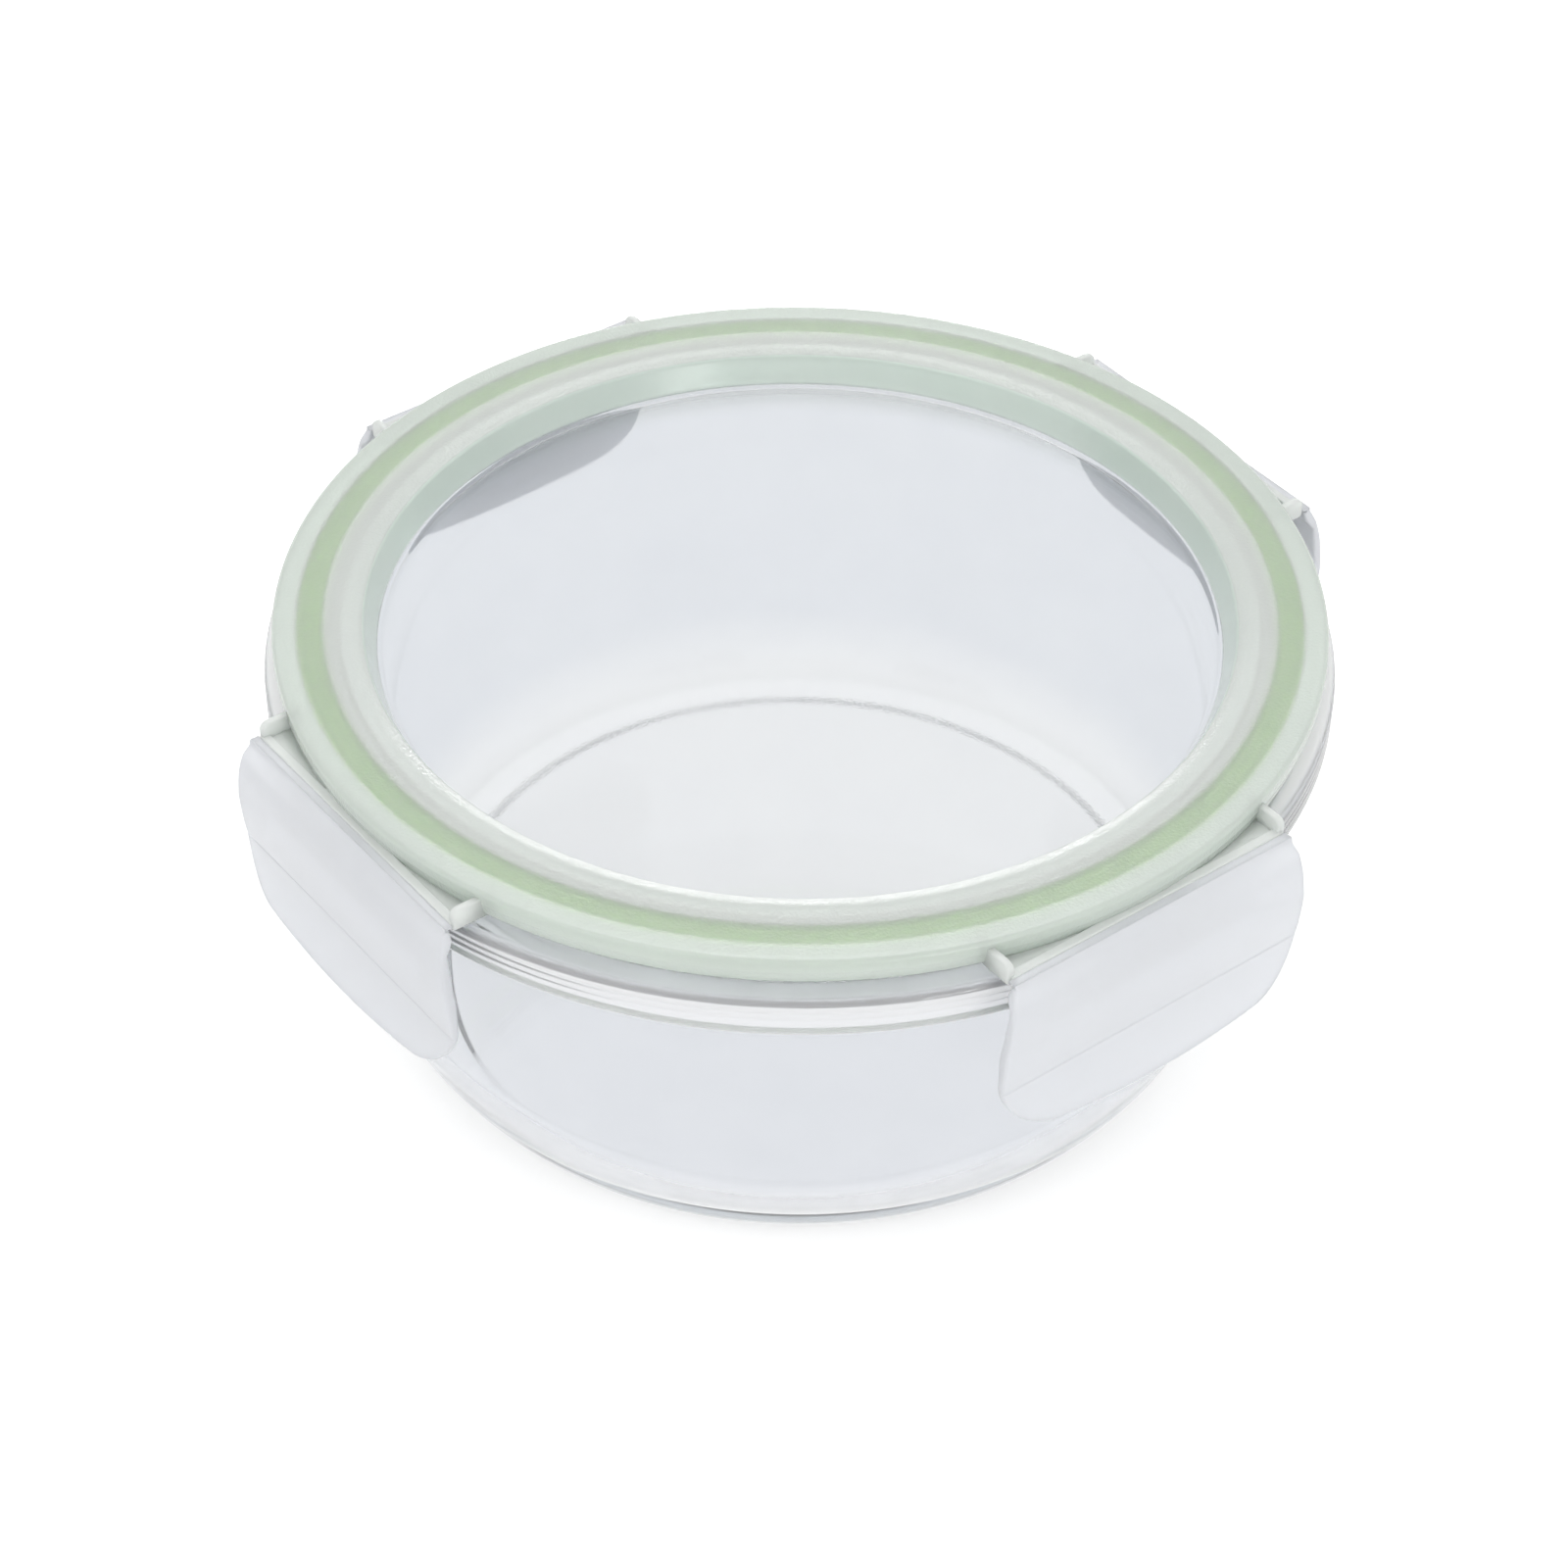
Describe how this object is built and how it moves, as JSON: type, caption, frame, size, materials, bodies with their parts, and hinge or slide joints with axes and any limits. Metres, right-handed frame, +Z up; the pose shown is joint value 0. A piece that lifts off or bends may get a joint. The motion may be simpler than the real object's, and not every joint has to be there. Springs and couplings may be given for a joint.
{
  "type": "snap lid food container",
  "caption": "Round clear glass food bowl with a flanged rim, a frosted plastic lid with a clear recessed panel and silicone gasket, and hinged snap latches that hook under the flange.",
  "frame": {"origin": "centre of the foot ring, on the table", "axes": "+Z up along the container's axis; the front latch faces -Y, the right latch +X"},
  "size_m": [0.1846, 0.1846, 0.076],
  "materials": {
    "glass": "clear polished borosilicate",
    "lid_plastic": "clear polypropylene panel with a fine frosted ring",
    "latch_plastic": "frosted translucent polypropylene",
    "silicone": "soft satin silicone"
  },
  "bodies": {
    "bowl": {"glass_bowl": "glass"},
    "lid": {"lid": "lid_plastic", "gasket": "silicone", "hinge_film_front": "latch_plastic", "hinge_film_right": "latch_plastic", "hinge_film_back": "latch_plastic", "hinge_film_left": "latch_plastic"},
    "latch_front": {"latch_front": "latch_plastic"},
    "latch_right": {"latch_right": "latch_plastic"},
    "latch_back": {"latch_back": "latch_plastic"},
    "latch_left": {"latch_left": "latch_plastic"}
  },
  "joints": [
    {"name": "lid_lift", "type": "slide", "parent": "bowl", "child": "lid", "axis": [0, 0, 1], "range_m": [0, 0.078]},
    {"name": "latch_front_hinge", "type": "hinge", "parent": "lid", "child": "latch_front", "pos_m": [0, -0.08739, 0.072], "axis": [-1, 0, 0], "range_deg": [0, 120]},
    {"name": "latch_right_hinge", "type": "hinge", "parent": "lid", "child": "latch_right", "pos_m": [0.08739, 0, 0.072], "axis": [0, -1, 0], "range_deg": [0, 120]},
    {"name": "latch_back_hinge", "type": "hinge", "parent": "lid", "child": "latch_back", "pos_m": [0, 0.08739, 0.072], "axis": [1, 0, 0], "range_deg": [0, 120]},
    {"name": "latch_left_hinge", "type": "hinge", "parent": "lid", "child": "latch_left", "pos_m": [-0.08739, 0, 0.072], "axis": [0, 1, 0], "range_deg": [0, 120]}
  ]
}
